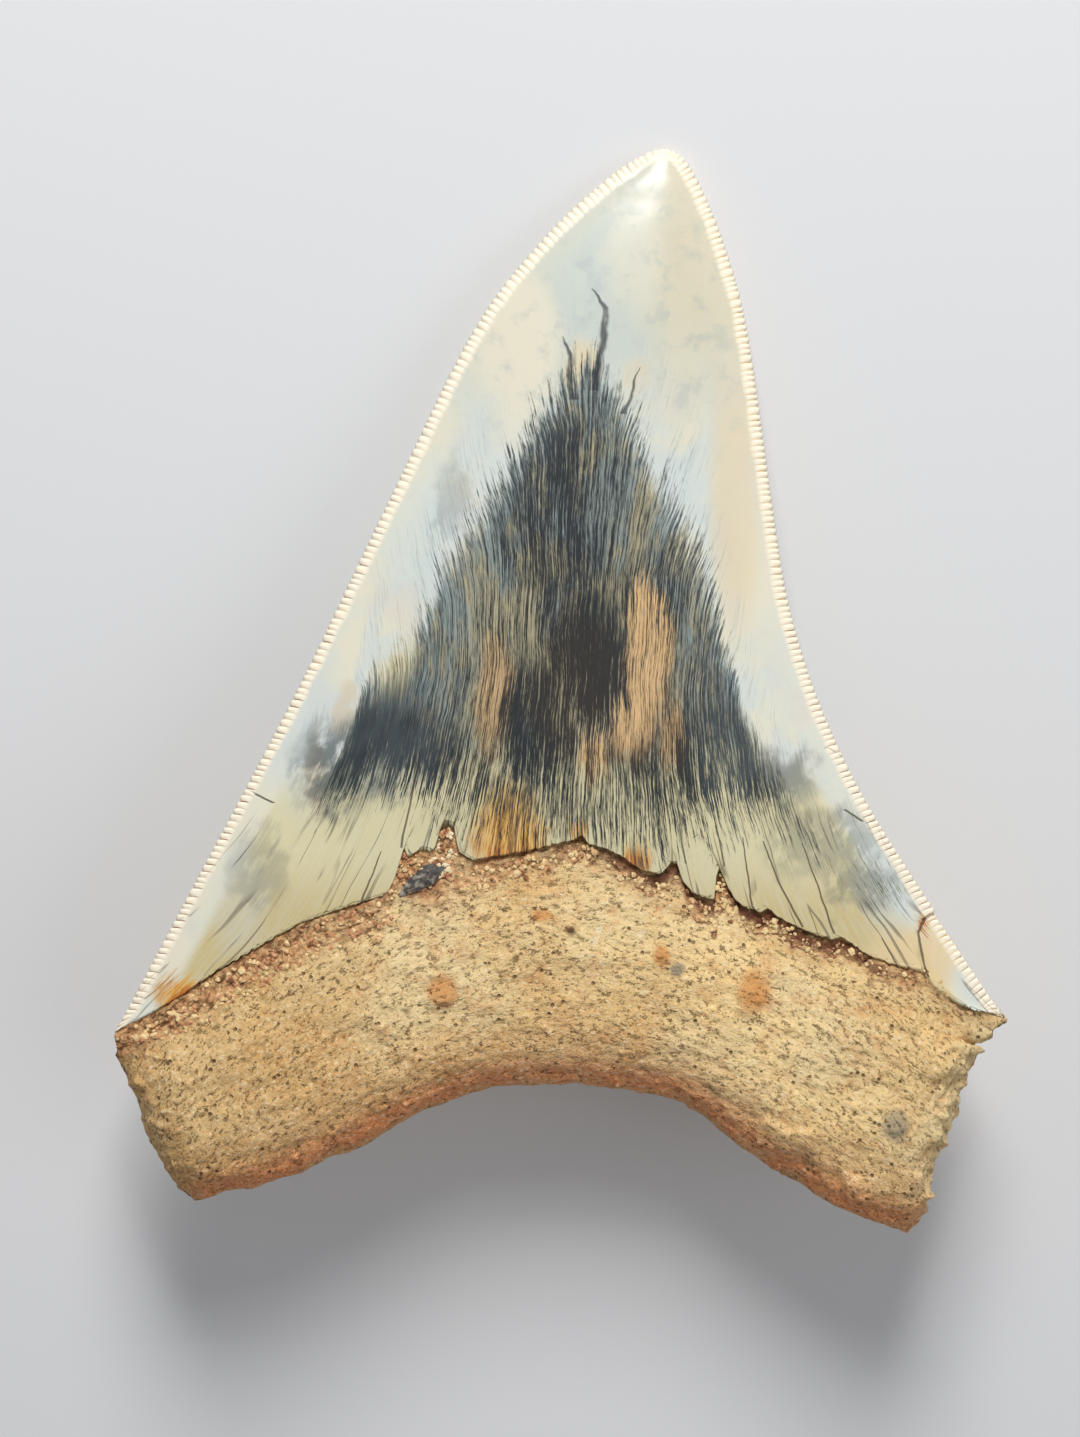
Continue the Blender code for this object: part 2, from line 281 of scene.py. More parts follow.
def placed(name, data):
    """An object of a mesh, a lamp or a camera, in the scene."""
    made = bpy.data.objects.new(name, data)
    bpy.context.collection.objects.link(made)
    return made


def piece(name, mesh, smooth=True):
    """Lays a finished mesh down, within the solid's own box, and makes it an object."""
    set_places(mesh, np.clip(laid(places(mesh)), *(np.array(corner) for corner in cad_box)))
    bmesh.ops.triangulate(mesh, faces=mesh.faces)
    for face in mesh.faces:
        face.smooth = smooth
    data = bpy.data.meshes.new(name)
    mesh.to_mesh(data)
    mesh.free()
    made = placed(name, data)
    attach(made, "root")
    return made


# Relief, as (width, height) in millimetres
ROOT_LUMPS = [(4.6, 0.34), (2.2, 0.22), (1.1, 0.10), (0.6, 0.07)]
WRINKLES = [(7.0, 1.1, 0.16), (3.5, 0.6, 0.08)]             # length, width and height
WRINKLED_SIZE = (45, 24, 3)                                 # the root along its arch, across it and through
BREAK_START = 36.0                                          # the right end is broken off from here on
BREAK_LUMPS = [(3.6, 1.0), (1.8, 0.6), (0.9, 0.34), (0.5, 0.16)]
CRUST_CRUMBS = [(1.1, 0.42), (0.55, 0.2)]
CRUST_SINK = 0.28
# Pits, as x, y, radius and depth
NAMED_PITS = [(-13.1, 4.6, 2.0, 0.55), (20.4, 4.3, 1.9, 0.4), (1.1, 12.1, 0.75, 0.9),
              (-4.9, 8.9, 0.45, 0.4), (-43.6, -2.0, 0.5, 0.5), (-42.4, -2.1, 0.45, 0.4),
              (36.0, -9.2, 1.5, 0.5), (41.0, -8.0, 0.9, 0.8), (40.6, -10.4, 1.2, 0.8),
              (39.2, -17.0, 0.9, 0.9), (-33.2, -1.2, 0.5, 0.4), (10.8, 9.2, 0.7, 0.2)]
NUTRIENT_HOLE = (2.0, -1.5, 1.8, 1.8)
SMALL_PITS = 420
SMALL_PIT_FIELD = ((-46, 44), (-20, 18))
SMALL_PIT_RADII = (0.3, 0.75)
SMALL_PIT_DEPTHS = (0.1, 0.34)
# Two lines along which a flake of the face has come off
LEDGES = [[(20.6, -8.9), (21.6, -8.4), (22.6, -8.2), (24.1, -9.0), (24.7, -9.5), (26.0, -9.2),
           (28.4, -10.2)],
          [(30.2, -14.0), (31.0, -14.4), (33.5, -14.9), (35.6, -13.8), (39.4, -14.1)]]
LEDGE_DROP = 0.8
# How wide the sandy crust under the enamel is: places across the tooth, and its width there
CRUST_WIDTHS = ((-48, -40, -20, -14, -13.5, -11.8, -11, -8, 8, 15.8, 16.6, 18.1, 18.8, 30, 38, 41),
                (1.5, 4.0, 4.2, 4.2, 5.6, 5.6, 4.0, 2.6, 2.0, 2.2, 4.6, 4.6, 2.2, 1.6, 1.0, 0.0))
UNDER_ENAMEL = 0.7           # the root's skin dips this far where the enamel covers it


def hollow(plan, x, y, radius, depth):
    """How deep a round pit is at each place."""
    return depth * (1 - ease(0.25, 1, np.hypot(plan[:, 0] - x, plan[:, 1] - y) / radius))


mesh, layers = flat_grid(ROOT_COLUMNS, ROOT_ROWS, ("across", "down", "labial", "below"))
refine(mesh, 1, lambda a, b: all(-1e-4 < co.x < 1.0001 and co.y > 0.03 for co in (a, b)))
grid = places(mesh)
points, *traits = root_places(grid[:, 0], grid[:, 1])
traits.append(ragged(points[:, 0]) - points[:, 1])
across, down, labial, below = wrap(mesh, points, layers, traits)

points, outward = places(mesh), directions(mesh)
plan = points[:, :2]
outside = ease(0.0, 0.12, down)
height = sum(size * lumps(points, spacing) for spacing, size in ROOT_LUMPS)
flow = np.column_stack([across, down, labial]) * WRINKLED_SIZE
height += sum(size * lumps(flow * (1 / length, 1 / width, 1), 1) for length, width, size in WRINKLES)
broken = ease(BREAK_START, BREAK_START + 6, points[:, 0])
height += broken * sum(size * lumps(points, spacing) for spacing, size in BREAK_LUMPS)
rng = random.Random(4)
for _ in range(SMALL_PITS):
    x, y = (rng.uniform(*span) for span in SMALL_PIT_FIELD)
    height -= hollow(plan, x, y, rng.uniform(*SMALL_PIT_RADII), rng.uniform(*SMALL_PIT_DEPTHS))
for x, y, radius, depth in NAMED_PITS:
    height -= hollow(plan, x, y, radius, depth) * labial
height -= hollow(plan, *NUTRIENT_HOLE) * (1 - labial)
for ledge in LEDGES:
    line = np.array(ledge)
    drop = np.interp(plan[:, 0], line[:, 0], line[:, 1]) + 0.3 * lumps(points, 0.9) - plan[:, 1]
    inside = ease(line[0, 0], line[0, 0] + 1, plan[:, 0]) * ease(line[-1, 0], line[-1, 0] - 1, plan[:, 0])
    height -= LEDGE_DROP * ease(0, 0.4, drop) * (1 - ease(0.4, 4.5, drop)) * inside * labial
crust_width = np.interp(plan[:, 0], *CRUST_WIDTHS)
crust = labial * ease(crust_width + 0.8, crust_width * 0.5, below) * ease(-2, -1, below)
near = np.flatnonzero(crust > 0.01)
crumbling = sum(size * crumbs(points[near], spacing) for spacing, size in CRUST_CRUMBS) - CRUST_SINK
height[near] += crust[near] * crumbling
height = height * np.maximum(outside, crust)
points = points + outward * height[:, None]
covered = labial * ease(-0.1, -0.9, below) * ease(0, 3, HALF_WIDTH - np.abs(points[:, 0]))
points[:, 2] -= UNDER_ENAMEL * covered
set_places(mesh, points)
mesh.normal_update()
skin, skin_below, skin_front = places(mesh), below, labial
root = piece("root", mesh)
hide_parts("tooth")


class Wire:
    """A socket in a material. Sums and products of wires and numbers add Math nodes."""

    def __init__(self, socket):
        self.socket = socket

    def node(self, kind, settings, inputs, output=0):
        """Adds a node to this wire's material, its settings first, then its sockets' values or wires."""
        tree = self.socket.id_data
        made = tree.nodes.new(kind)
        for name, value in settings.items():
            if name == "stops":
                ramp = made.color_ramp.elements
                for i, (stop, _) in enumerate(value):
                    element = ramp[i] if i < 2 else ramp.new(stop)
                    element.position = stop
                for element, (_, level) in zip(ramp, sorted(value)):
                    element.color = (level, level, level, 1)
            else:
                setattr(made, name, value)
        for name, value in inputs.items() if isinstance(inputs, dict) else enumerate(inputs):
            if isinstance(value, Wire):
                tree.links.new(value.socket, made.inputs[name])
            else:
                made.inputs[name].default_value = value
        return Wire(made.outputs[output])

    def math(self, operation, *values):
        return self.node("ShaderNodeMath", {"operation": operation}, values)

    def __add__(self, other):
        return self.math("ADD", self, other)

    def __sub__(self, other):
        return self.math("SUBTRACT", self, other)

    def __mul__(self, other):
        return self.math("MULTIPLY", self, other)

    def __truediv__(self, other):
        return self.math("DIVIDE", self, other)

    def __pow__(self, other):
        return self.math("POWER", self, other)

    def __rsub__(self, other):
        return self.math("SUBTRACT", other, self)

    def __abs__(self):
        return self.math("ABSOLUTE", self)

    __radd__ = __add__
    __rmul__ = __mul__


def rise(low, high, value):
    """A wire that rises smoothly from 0 where value is low to 1 where it is high, which may be less."""
    return value.node("ShaderNodeMapRange", {"interpolation_type": "SMOOTHSTEP"},
                      {"Value": value, "From Min": low, "From Max": high})


def larger(first, second):
    return first.math("MAXIMUM", first, second)


def smaller(first, second):
    return first.math("MINIMUM", first, second)


def point(x, y, z=0.0):
    return x.node("ShaderNodeCombineXYZ", {}, (x, y, z))


def clouds(place, width, detail=2.0, rough=0.5):
    """Soft noise with forms about as wide as width, from 0 to 1."""
    return place.node("ShaderNodeTexNoise", {}, {"Vector": place, "Scale": 1 / width, "Detail": detail,
                                                 "Roughness": rough})


def grains(place, width):
    """The distance from the nearest of many scattered points about width apart, in widths."""
    return place.node("ShaderNodeTexVoronoi", {}, {"Vector": place, "Scale": 1 / width})


def rgb(red, green, blue):
    """A display colour, 0 to 255, as the shader's own."""
    return (*(((part / 255 + 0.055) / 1.055) ** 2.4 for part in (red, green, blue)), 1.0)


def blend(first, second, mask):
    """The first colour where mask is 0 and the second where it is 1."""
    return mask.node("ShaderNodeMix", {"data_type": "RGBA"}, {0: mask, 6: first, 7: second}, 2)


def trait(place, name):
    """One of the float layers kept on the mesh."""
    return place.node("ShaderNodeAttribute", {"attribute_name": name}, {}, "Fac")


def spot(x, y, centre_x, centre_y, half_width, half_height):
    """1 in the middle of an oval patch, falling softly to 0 about its rim."""
    beside, beyond = (x - centre_x) * (1 / half_width), (y - centre_y) * (1 / half_height)
    return rise(1.5, 0.1, beside * beside + beyond * beyond)


def finish(made, name):
    """Gives a piece its material, and returns its shader and the place on the upright tooth in mm."""
    material = bpy.data.materials.new(name)
    made.data.materials.append(material)
    material.use_nodes = True
    tree = material.node_tree
    back = Matrix.Rotation(LEAN, 3, "X") @ -Vector(REST_SHIFT)
    lying = Wire(tree.nodes.new("ShaderNodeTexCoord").outputs["Object"])
    place = lying.node("ShaderNodeMapping", {}, {"Vector": lying, "Location": back,
                                                 "Rotation": (LEAN, 0, 0), "Scale": (1 / MM,) * 3})
    return tree.nodes["Principled BSDF"], place


def axes(place):
    """A place's x, y and z."""
    parts = place.node("ShaderNodeSeparateXYZ", {}, {"Vector": place}).socket.node.outputs
    return [Wire(parts[axis]) for axis in "XYZ"]


def coat(shader, color, roughness, height, depth):
    """Gives a surface its colour, its roughness, and fine relief up to depth millimetres."""
    relief = height.node("ShaderNodeBump", {}, {"Height": height, "Distance": depth * MM, "Strength": 1.0})
    for name, wire in (("Base Color", color), ("Roughness", roughness), ("Normal", relief)):
        wire.socket.id_data.links.new(wire.socket, shader.inputs[name])


KHAKI = rgb(228, 189, 128)
PALE_CLAY_AND_HIGHLIGHT = rgb(240, 212, 156)
GOLDEN = rgb(250, 216, 152)
TAWNY = rgb(214, 152, 94)
RUST = rgb(208, 134, 64)
RED_SAND = rgb(206, 148, 102)
DEEP_OCHRE = rgb(208, 156, 88)
MARGIN_RED_AND_BOUNCE = rgb(246, 146, 88)
GROOVE_BROWN = rgb(100, 50, 34)
PIT_BROWN = rgb(120, 78, 44)
PALE_GRAIN_AND_HIGHLIGHT = rgb(246, 228, 188)
SLATE = rgb(128, 124, 112)
# Each colour, of stains and of painted shade, and its spots as x, y, half width and half height
STAINS_AND_SHADE = [(RUST, [(-12.8, 5.4, 1.9, 1.9), (20.8, 5.4, 1.9, 2.6), (10.9, 9.1, 1.0, 1.4),
                  (-2.0, 13.5, 1.5, 0.7), (17.4, 16.3, 1.0, 2.2)]),
          (SLATE, [(12.5, 7.6, 0.9, 0.8), (36.0, -9.2, 1.5, 1.9)]),
          (PALE_GRAIN_AND_HIGHLIGHT, [(3.5, 10.7, 0.5, 0.5), (3.9, 11.8, 0.45, 0.5), (8.7, 11.5, 0.5, 0.4)]),
          # Dark brown: darker in three pits, and painted shadow in the slit under the pebble at (-15.4,
          # 15.6)
          (GROOVE_BROWN, [(1.1, 12.1, 0.7, 0.5), (-15.4, 15.6, 1.5, 0.45), (-12.6, 3.9, 1.0, 0.4),
                          (-4.9, 8.9, 0.4, 0.4)])]

shader, place = finish(root, "tan stone root")
x, y, z = axes(place)
below, labial_side, down = (trait(place, name) for name in ("below", "labial", "down"))
broad, middling = clouds(place, 16, 3), clouds(place, 2.6, 4, 0.6)
along_arch = place.node("ShaderNodeVectorRotate", {"rotation_type": "Z_AXIS"},
                        {"Vector": place, "Angle": x * 0.012 - 0.1})
along_arch = place.node("ShaderNodeMapping", {}, {"Vector": along_arch, "Scale": (0.95, 1.4, 1.2)})
wrinkles = clouds(along_arch, 0.8, 4, 0.68)
sand, dust = clouds(place, 0.5, 3, 0.7), clouds(place, 0.2, 2, 0.6)

# The stone's tones: golden to the right, deeper ochre towards the left end, and tawny and red towards the
# basal arch and along its labial rim; that tawny and red is partly the stone's colour and partly painted
# reddish bounce light and shade.
color = blend(KHAKI, PALE_CLAY_AND_HIGHLIGHT, rise(0.4, 0.6, broad))
color = blend(color, GOLDEN, rise(0.42, 0.62, clouds(point(x + 40, y), 11)) * rise(-6, 16, x) * 0.8)
color = blend(color, TAWNY, rise(0.5, 0.68, middling) * 0.45)
color = blend(color, DEEP_OCHRE, rise(-14, -34, x) * 0.5)
# Tawny towards the arch and red along its labial rim: partly the stone's colour, partly painted reddish
# bounce light and shade
color = blend(color, TAWNY, rise(0.62, 1.0, down) * 0.7)
margin = rise(0.82, 0.98, down + (sand - 0.5) * 0.3) * rise(-6, -1, z + (middling - 0.5) * 8)
color = blend(color, MARGIN_RED_AND_BOUNCE, margin * 0.8)

# Pale grains, dark creases that follow the arch, and speckles. The pale flecks on the wrinkles' ridges are
# partly pale grains and partly painted highlights; the dark in the creases is partly the stone's colour and
# partly painted shade.
# Pale flecks on the wrinkles' ridges: partly grains, partly painted highlights
color = blend(color, PALE_GRAIN_AND_HIGHLIGHT, rise(0.52, 0.68, sand) * rise(0.44, 0.54, wrinkles) * 0.85)
# Dark creases: partly the stone's colour, partly painted shade in them
creases = rise(0.43, 0.32, wrinkles + (dust - 0.5) * 0.3)
color = blend(color, PIT_BROWN, creases * (0.3 + 0.45 * rise(0.52, 0.4, middling)))
color = blend(color, PIT_BROWN, rise(0.44, 0.32, sand) * 0.5)
color = blend(color, PALE_GRAIN_AND_HIGHLIGHT, rise(0.56, 0.7, dust) * 0.5)
speckles = rise(0.3, 0.1, grains(place, 0.9)) * rise(0.54, 0.64, clouds(point(y, x), 2.6, 1))
color = blend(color, PIT_BROWN, speckles * 0.8)

# Stains, darker pits, painted shadow in the slit under the pebble, and single grains
wobble = (clouds(place, 1.4, 3) - 0.5) * 2.4
near_x, near_y, dabs = x + wobble * 0.5, y + wobble * 0.4, labial_side * (0.2 + sand)
for dab_color, spots in STAINS_AND_SHADE:
    for at in spots:
        color = blend(color, dab_color, spot(near_x, near_y, *at) * dabs)

# The crust of rusty sand, its rows of crumbs, and the groove right under the enamel. The crumbs' pale
# centres are partly paler clay and partly painted highlights, the dark rows and gaps between crumbs partly
# the crust's colour and partly painted shade, and the groove's dark partly its own fill and partly painted
# shadow under the enamel's lip.
left_crust = rise(3.9, 2.2, below + wobble) * rise(-10, -20, x)
right_crust = rise(3.0, 1.2, below + wobble) * rise(-18, -8, x) * rise(45, 36, x)
notch_crust = spot(x + wobble, y, -13.8, 18.0, 5.6, 5.0)
crust = smaller(left_crust + right_crust + notch_crust, 1.0) * labial_side
crumb = grains(place, 0.8)
color = blend(color, RED_SAND, crust * (0.2 + 0.4 * rise(0.35, 0.6, middling)))
# Pale crumb centres: partly paler clay, partly painted highlights
color = blend(color, PALE_CLAY_AND_HIGHLIGHT, crust * rise(0.4, 0.1, crumb) * 0.75)
rows = clouds(point(x * 0.45, below * 1.5), 1.0, 3, 0.6)
# Dark rows and gaps between crumbs: partly the crust's colour, partly painted shade
color = blend(color, GROOVE_BROWN, crust * rise(0.46, 0.34, rows) * 0.8)
color = blend(color, GROOVE_BROWN, crust * rise(0.5, 0.75, crumb) * 0.4)
# Dark brown just under the enamel's lip: partly the groove's own fill, partly painted shadow of the lip,
# strongest where the lip stands highest
groove_and_lip_shadow = rise(1.5, 0.5, below + wobble * 0.35) * rise(-0.6, 0.1, below) * labial_side
color = blend(color, GROOVE_BROWN, groove_and_lip_shadow * (0.2 + 0.7 * rise(-4, 12, x) * rise(36, 32, x)))
shader.inputs["Specular IOR Level"].default_value = 0.3
relief = 0.7 * wrinkles - 0.3 * creases + 0.25 * sand + 0.15 * dust - 0.6 * speckles
coat(shader, color, 0.8 + 0.18 * sand, relief, 0.6)

# --- Crown ---
# The crown is enamel, hard and glossy, over the same dentine. It grew as a flat labial face and a domed
# lingual one that meet in two saw-toothed cutting edges, with a dull band, the bourlette, at the foot
# of the lingual face.

TIP = (11.2, 96.3)
LEFT_CUTTING_EDGE = [TIP, (9.0, 95.7), (4.6, 92.8), (-2.3, 86.2), (-9.6, 76.5), (-19.2, 57.2),
                     (-28.6, 37.8), (-38.9, 18.4), LEFT_SHOULDER]
RIGHT_CUTTING_EDGE = [TIP, (12.9, 95.6), (14.8, 92.9), (17.6, 86.2), (20.2, 76.5), (23.0, 57.2),
                      (24.6, 47.5), (27.5, 37.8), (31.8, 28.1), (37.6, 18.4), RIGHT_SHOULDER]
SAW_TEETH = 148              # down either edge, one to a row of the mesh
SAW_TOOTH_STEPS = 8          # each tooth is cut up this finely
SAW_UNEVENNESS = 0.45        # how far a tooth strays from its even place, in teeth
SAW_DEPTH = 0.34
SAW_RIDGE = 0.2              # how high each tooth's ridge stands on the faces
SAW_RIDGE_LENGTH = 1.1
EDGE_BAND = 1.7              # width of the fine mesh along the edges
EDGE_ROUNDING = 0.5          # how far in from the edge the faces are rounded over
EDGE_THICKNESS = 0.22        # how much thicker the enamel is there
BAND_COLUMNS = 6
FACE_COLUMNS = 96
FINE_FOOT = (0.86, 0.92)     # the columns are doubled from here on down, for the torn foot
CLOSING_ROWS = 4             # inside the crown, where its two sides meet
CLOSING_DEPTH = 6.0
CLOSING_RISE = 1.5
BOURLETTE_DEPTH = 0.45       # the bourlette is this much lower than the enamel
BOURLETTE_TOP = 0.84         # and starts this far down the middle
ENAMEL_SWELL = (7.0, 0.07)   # width and height of the enamel's faint unevenness
CORNER_STEP = 0.28           # the corner beyond the crack has sunk by this much
CORNER_CRACK_WIDTH = 0.22
CORNER_CRACK_DEPTH = 0.45
CORNER_CRACK = [(41.4, 14.6), (40.9, 13.8), (39.4, 13.1), (38.7, 12.1), (39.0, 10.8), (38.9, 9.0),
                (39.3, 7.7), (40.0, 6.4), (40.9, 5.4)]

left_edge = smooth_line(LEFT_CUTTING_EDGE)
right_edge = smooth_line(RIGHT_CUTTING_EDGE)


def inward(edge, down, side):
    """The way in from a cutting edge, turning along the enamel's foot at the shoulder."""
    ahead = along(edge, np.minimum(down + 0.003, 1)) - along(edge, np.maximum(down - 0.003, 0))
    square = np.column_stack([-ahead[:, 1], ahead[:, 0]]) * side
    square /= np.hypot(*square.T)[:, None]
    foot = np.array([side, 0.35])
    return mix(square, foot / np.hypot(*foot), ease(0.97, 1, down)[:, None])


def crown_places(turn, row):
    """The crown's form over a flat grid. turn is as on the root; row runs 0 to 1 from the tip to the
    enamel's foot, and on to the line where both sides meet inside."""
    labial = turn <= 1
    even = np.where(labial, 2 * turn - 1, 3 - 2 * turn)
    row = row * (SAW_TEETH + CLOSING_ROWS) / SAW_TEETH
    down = np.minimum(row, 1)
    closing = np.clip((row - 1) * SAW_TEETH / CLOSING_ROWS, 0, 1)
    left, right = along(left_edge, down), along(right_edge, down)
    width = np.maximum(np.hypot(*(right - left).T), 1e-6)
    band = np.minimum(EDGE_BAND, 0.25 * width)
    left_in = left + inward(left_edge, down, 1) * band[:, None]
    right_in = right + inward(right_edge, down, -1) * band[:, None]
    band_share = BAND_COLUMNS / (BAND_COLUMNS + FACE_COLUMNS / 2)
    rim = np.clip((1 - np.abs(even)) / band_share, 0, 1)
    inner = np.clip(even / (1 - band_share), -1, 1)
    core = mix(left_in, right_in, ((inner + 1) / 2)[:, None])
    plan = mix(np.where((even < 0)[:, None], left, right), core, rim[:, None])
    share = np.clip(((plan - left) * (right - left)).sum(axis=1) / width**2, 0, 1)
    share = np.where(width < 1e-4, 0.5, share)
    across = 2 * share - 1
    chord = mix(np.array(LEFT_SHOULDER), np.array(RIGHT_SHOULDER), share[:, None])
    smooth_foot = np.interp(chord[:, 0], *root_top[0].T)
    foot = np.where(labial, smooth_foot, np.interp(chord[:, 0], *lingual_base[0].T))
    plan[:, 1] += (foot - chord[:, 1]) * down**2
    plan[:, 1] += np.where(labial, ragged(chord[:, 0]) - smooth_foot, 0) * ease(0.84, 1, down)
    rim_distance = rim * band + np.maximum(0, 1 - np.abs(inner)) * (width / 2 - band)
    round_edge = np.sqrt(1 - (1 - np.minimum(rim_distance / EDGE_ROUNDING, 1)) ** 2)
    thickening = EDGE_THICKNESS * round_edge * (1 - ease(1.0, 6.0, rim_distance)) * ease(0, 0.02, down)
    chevron = mix(BOURLETTE_TOP, 1.0, np.abs(across))
    bourlette = ease(chevron - 0.012, chevron + 0.006, down) * np.where(labial, 0, 1)
    behind = lingual_crown(across, down) - BOURLETTE_DEPTH * bourlette * np.sqrt(1 - np.abs(across))
    height = np.where(labial, labial_crown(across, down) + thickening, -behind - thickening)
    height *= 1 - closing
    height -= EDGE_DROP * down + CLOSING_DEPTH * closing * (1 - np.abs(across))
    plan[:, 1] = mix(plan[:, 1], smooth_foot + CLOSING_RISE * (1 - np.abs(across)),
                     closing * (np.abs(across) < 0.999))
    return np.column_stack([plan, height]), across, down, labial, rim_distance, bourlette, closing


mesh, layers = flat_grid(2 * BAND_COLUMNS + FACE_COLUMNS, SAW_TEETH + CLOSING_ROWS,
                         ("across", "down", "labial", "rim", "bourlette", "closing", "saw"))
foot_row = SAW_TEETH / (SAW_TEETH + CLOSING_ROWS)
band_turn = BAND_COLUMNS / (2 * BAND_COLUMNS + FACE_COLUMNS)


def on_face(co, top):
    """Whether a point of the grid lies on the labial face between its bands, top or further down."""
    return band_turn - 1e-4 < co.x < 1 - band_turn + 1e-4 and co.y > top - 1e-4


def down_band(a, b):
    """Whether an edge of the grid runs down one of the bands along the cutting edges."""
    aside = abs((a.x + 1e-4) % 1 - 0.5)
    return abs(a.x - b.x) < 1e-5 and aside > 0.5 - band_turn - 3e-4 and min(a.y, b.y) < foot_row - 1e-4


refine(mesh, 1, lambda a, b: on_face(a, 0.0) and on_face(b, 0.0) and abs(a.x - b.x) < 1e-5
       and min(a.x, b.x) > band_turn + 1e-4 and max(a.x, b.x) < 1 - band_turn - 1e-4)
for top in FINE_FOOT:
    refine(mesh, 1, lambda a, b: on_face(a, top) and on_face(b, top) and abs(a.y - b.y) < 1e-5)
refine(mesh, SAW_TOOTH_STEPS - 1, down_band)
grid = places(mesh)
points, *traits = crown_places(grid[:, 0], grid[:, 1])
across, down = traits[:2]
uneven = np.array([noise.noise(Vector((at * 60, side * 9, 0))) for at, side in zip(down, across > 0)])
tooth_turn = (down * SAW_TEETH + SAW_UNEVENNESS * uneven) % 1
traits.append(np.sqrt(np.clip(1 - (2 * tooth_turn - 1) ** 2, 0, 1)))
across, down, labial, rim, bourlette, closing, bead = wrap(mesh, points, layers, traits)

points, outward = places(mesh), directions(mesh)
enamel = (1 - closing) * ease(0, 0.01, down)
ridge = ease(0, 0.25, rim) * (1 - ease(0.6, SAW_RIDGE_LENGTH + 0.2, rim))
height = SAW_RIDGE * ridge * (bead - 0.4) * enamel
swell_width, swell_height = ENAMEL_SWELL
height += swell_height * lumps(points * (1, 0.5, 1), swell_width) * ease(0, 6, rim) * enamel
crack = np.array(CORNER_CRACK)
beside = points[:, 0] - np.interp(-points[:, 1], -crack[:, 1], crack[:, 0])
corner = ease(crack[0, 1], crack[0, 1] - 1, points[:, 1]) * labial
split = CORNER_CRACK_DEPTH * np.exp(-(beside / CORNER_CRACK_WIDTH) ** 2)
height -= corner * enamel * (CORNER_STEP * ease(-0.1, 0.3, beside) + split)
points = points + outward * height[:, None]
notch = SAW_DEPTH * (1 - bead) * np.clip(1 - rim / 0.8, 0, 1) * enamel
square = np.where((across < 0)[:, None], inward(left_edge, down, 1), inward(right_edge, down, -1))
points[:, :2] += square * notch[:, None]
set_places(mesh, points)
crown = piece("crown", mesh)
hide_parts("tooth")

CREAM = rgb(226, 221, 198)
WARM_CREAM = rgb(230, 221, 196)
GREY_WHITE = rgb(214, 219, 209)
BLUE_WHITE = rgb(205, 214, 212)
ROSE_WHITE = rgb(214, 208, 200)
OCHRE = rgb(226, 202, 156)
ROSE_TAN = rgb(204, 182, 146)
GREEN_CREAM = rgb(216, 207, 165)
FOOT_OCHRE = rgb(202, 184, 132)
SAGE_WHITE = rgb(192, 199, 189)
DULL_CREAM = rgb(212, 203, 174)
CHARCOAL = rgb(42, 47, 50)
INK_BROWN = rgb(54, 48, 42)
SMOKE_BLUE = rgb(76, 87, 90)
STREAK_GREY = rgb(140, 150, 144)
STREAK_KHAKI = rgb(176, 167, 135)
STREAK_TAN = rgb(222, 184, 132)
STREAK_TEAL = rgb(132, 150, 152)
HAIR_BLUE = rgb(158, 172, 172)
AMBER = rgb(222, 168, 76)
BURNT_AMBER = rgb(184, 104, 40)
BEAD_CREAM = rgb(250, 238, 213)
GAP_BROWN = rgb(152, 110, 82)
GAP_CREAM = rgb(214, 202, 178)
GAP_GOLD = rgb(226, 188, 116)
CRACK_BROWN = rgb(84, 70, 56)
BOURLETTE_BROWN = rgb(96, 82, 66)

# The dark core is a plume of fine streaks, which run down the tooth along lines that bend outward above
# and below its waist. CORE_TOP and CORE_FOOT are the plume's upper and lower edges, its hairs' tips.
WAIST = 42.0
FLARE = 0.45 / 30**2
LINES = 30.0                 # the streaks' lines run from this far left of the middle to as far right
HIGHEST = 100.0              # the edges' heights are kept as shares of this
CORE_TOP = [(-36.0, 15.0), (-34.5, 21.0), (-33.0, 25.9), (-31.0, 31.3), (-26.5, 37.5), (-20.5, 42.5),
            (-15.2, 47.5), (-13.3, 52.9), (-10.2, 58.3), (-6.4, 63.7), (-3.3, 69.4), (-1.0, 72.5),
            (1.4, 75.0), (3.4, 76.5), (5.2, 75.0), (6.6, 72.5), (8.4, 69.4), (10.9, 63.7), (14.1, 58.3),
            (16.4, 52.9), (17.6, 47.5), (18.9, 42.1), (19.9, 36.7), (22.8, 31.3), (26.0, 25.9),
            (29.5, 21.0), (32.5, 15.0)]
CORE_FOOT = [(-34.0, 26.0), (-28.5, 23.0), (-24.5, 24.0), (-20.6, 25.5), (-16.3, 24.6), (-12.3, 22.0),
             (-8.0, 20.0), (-4.0, 18.6), (1.0, 18.6), (6.0, 18.2), (11.0, 19.0), (16.0, 21.0), (20.0, 22.0),
             (24.0, 21.5), (28.0, 18.5), (32.0, 15.0)]
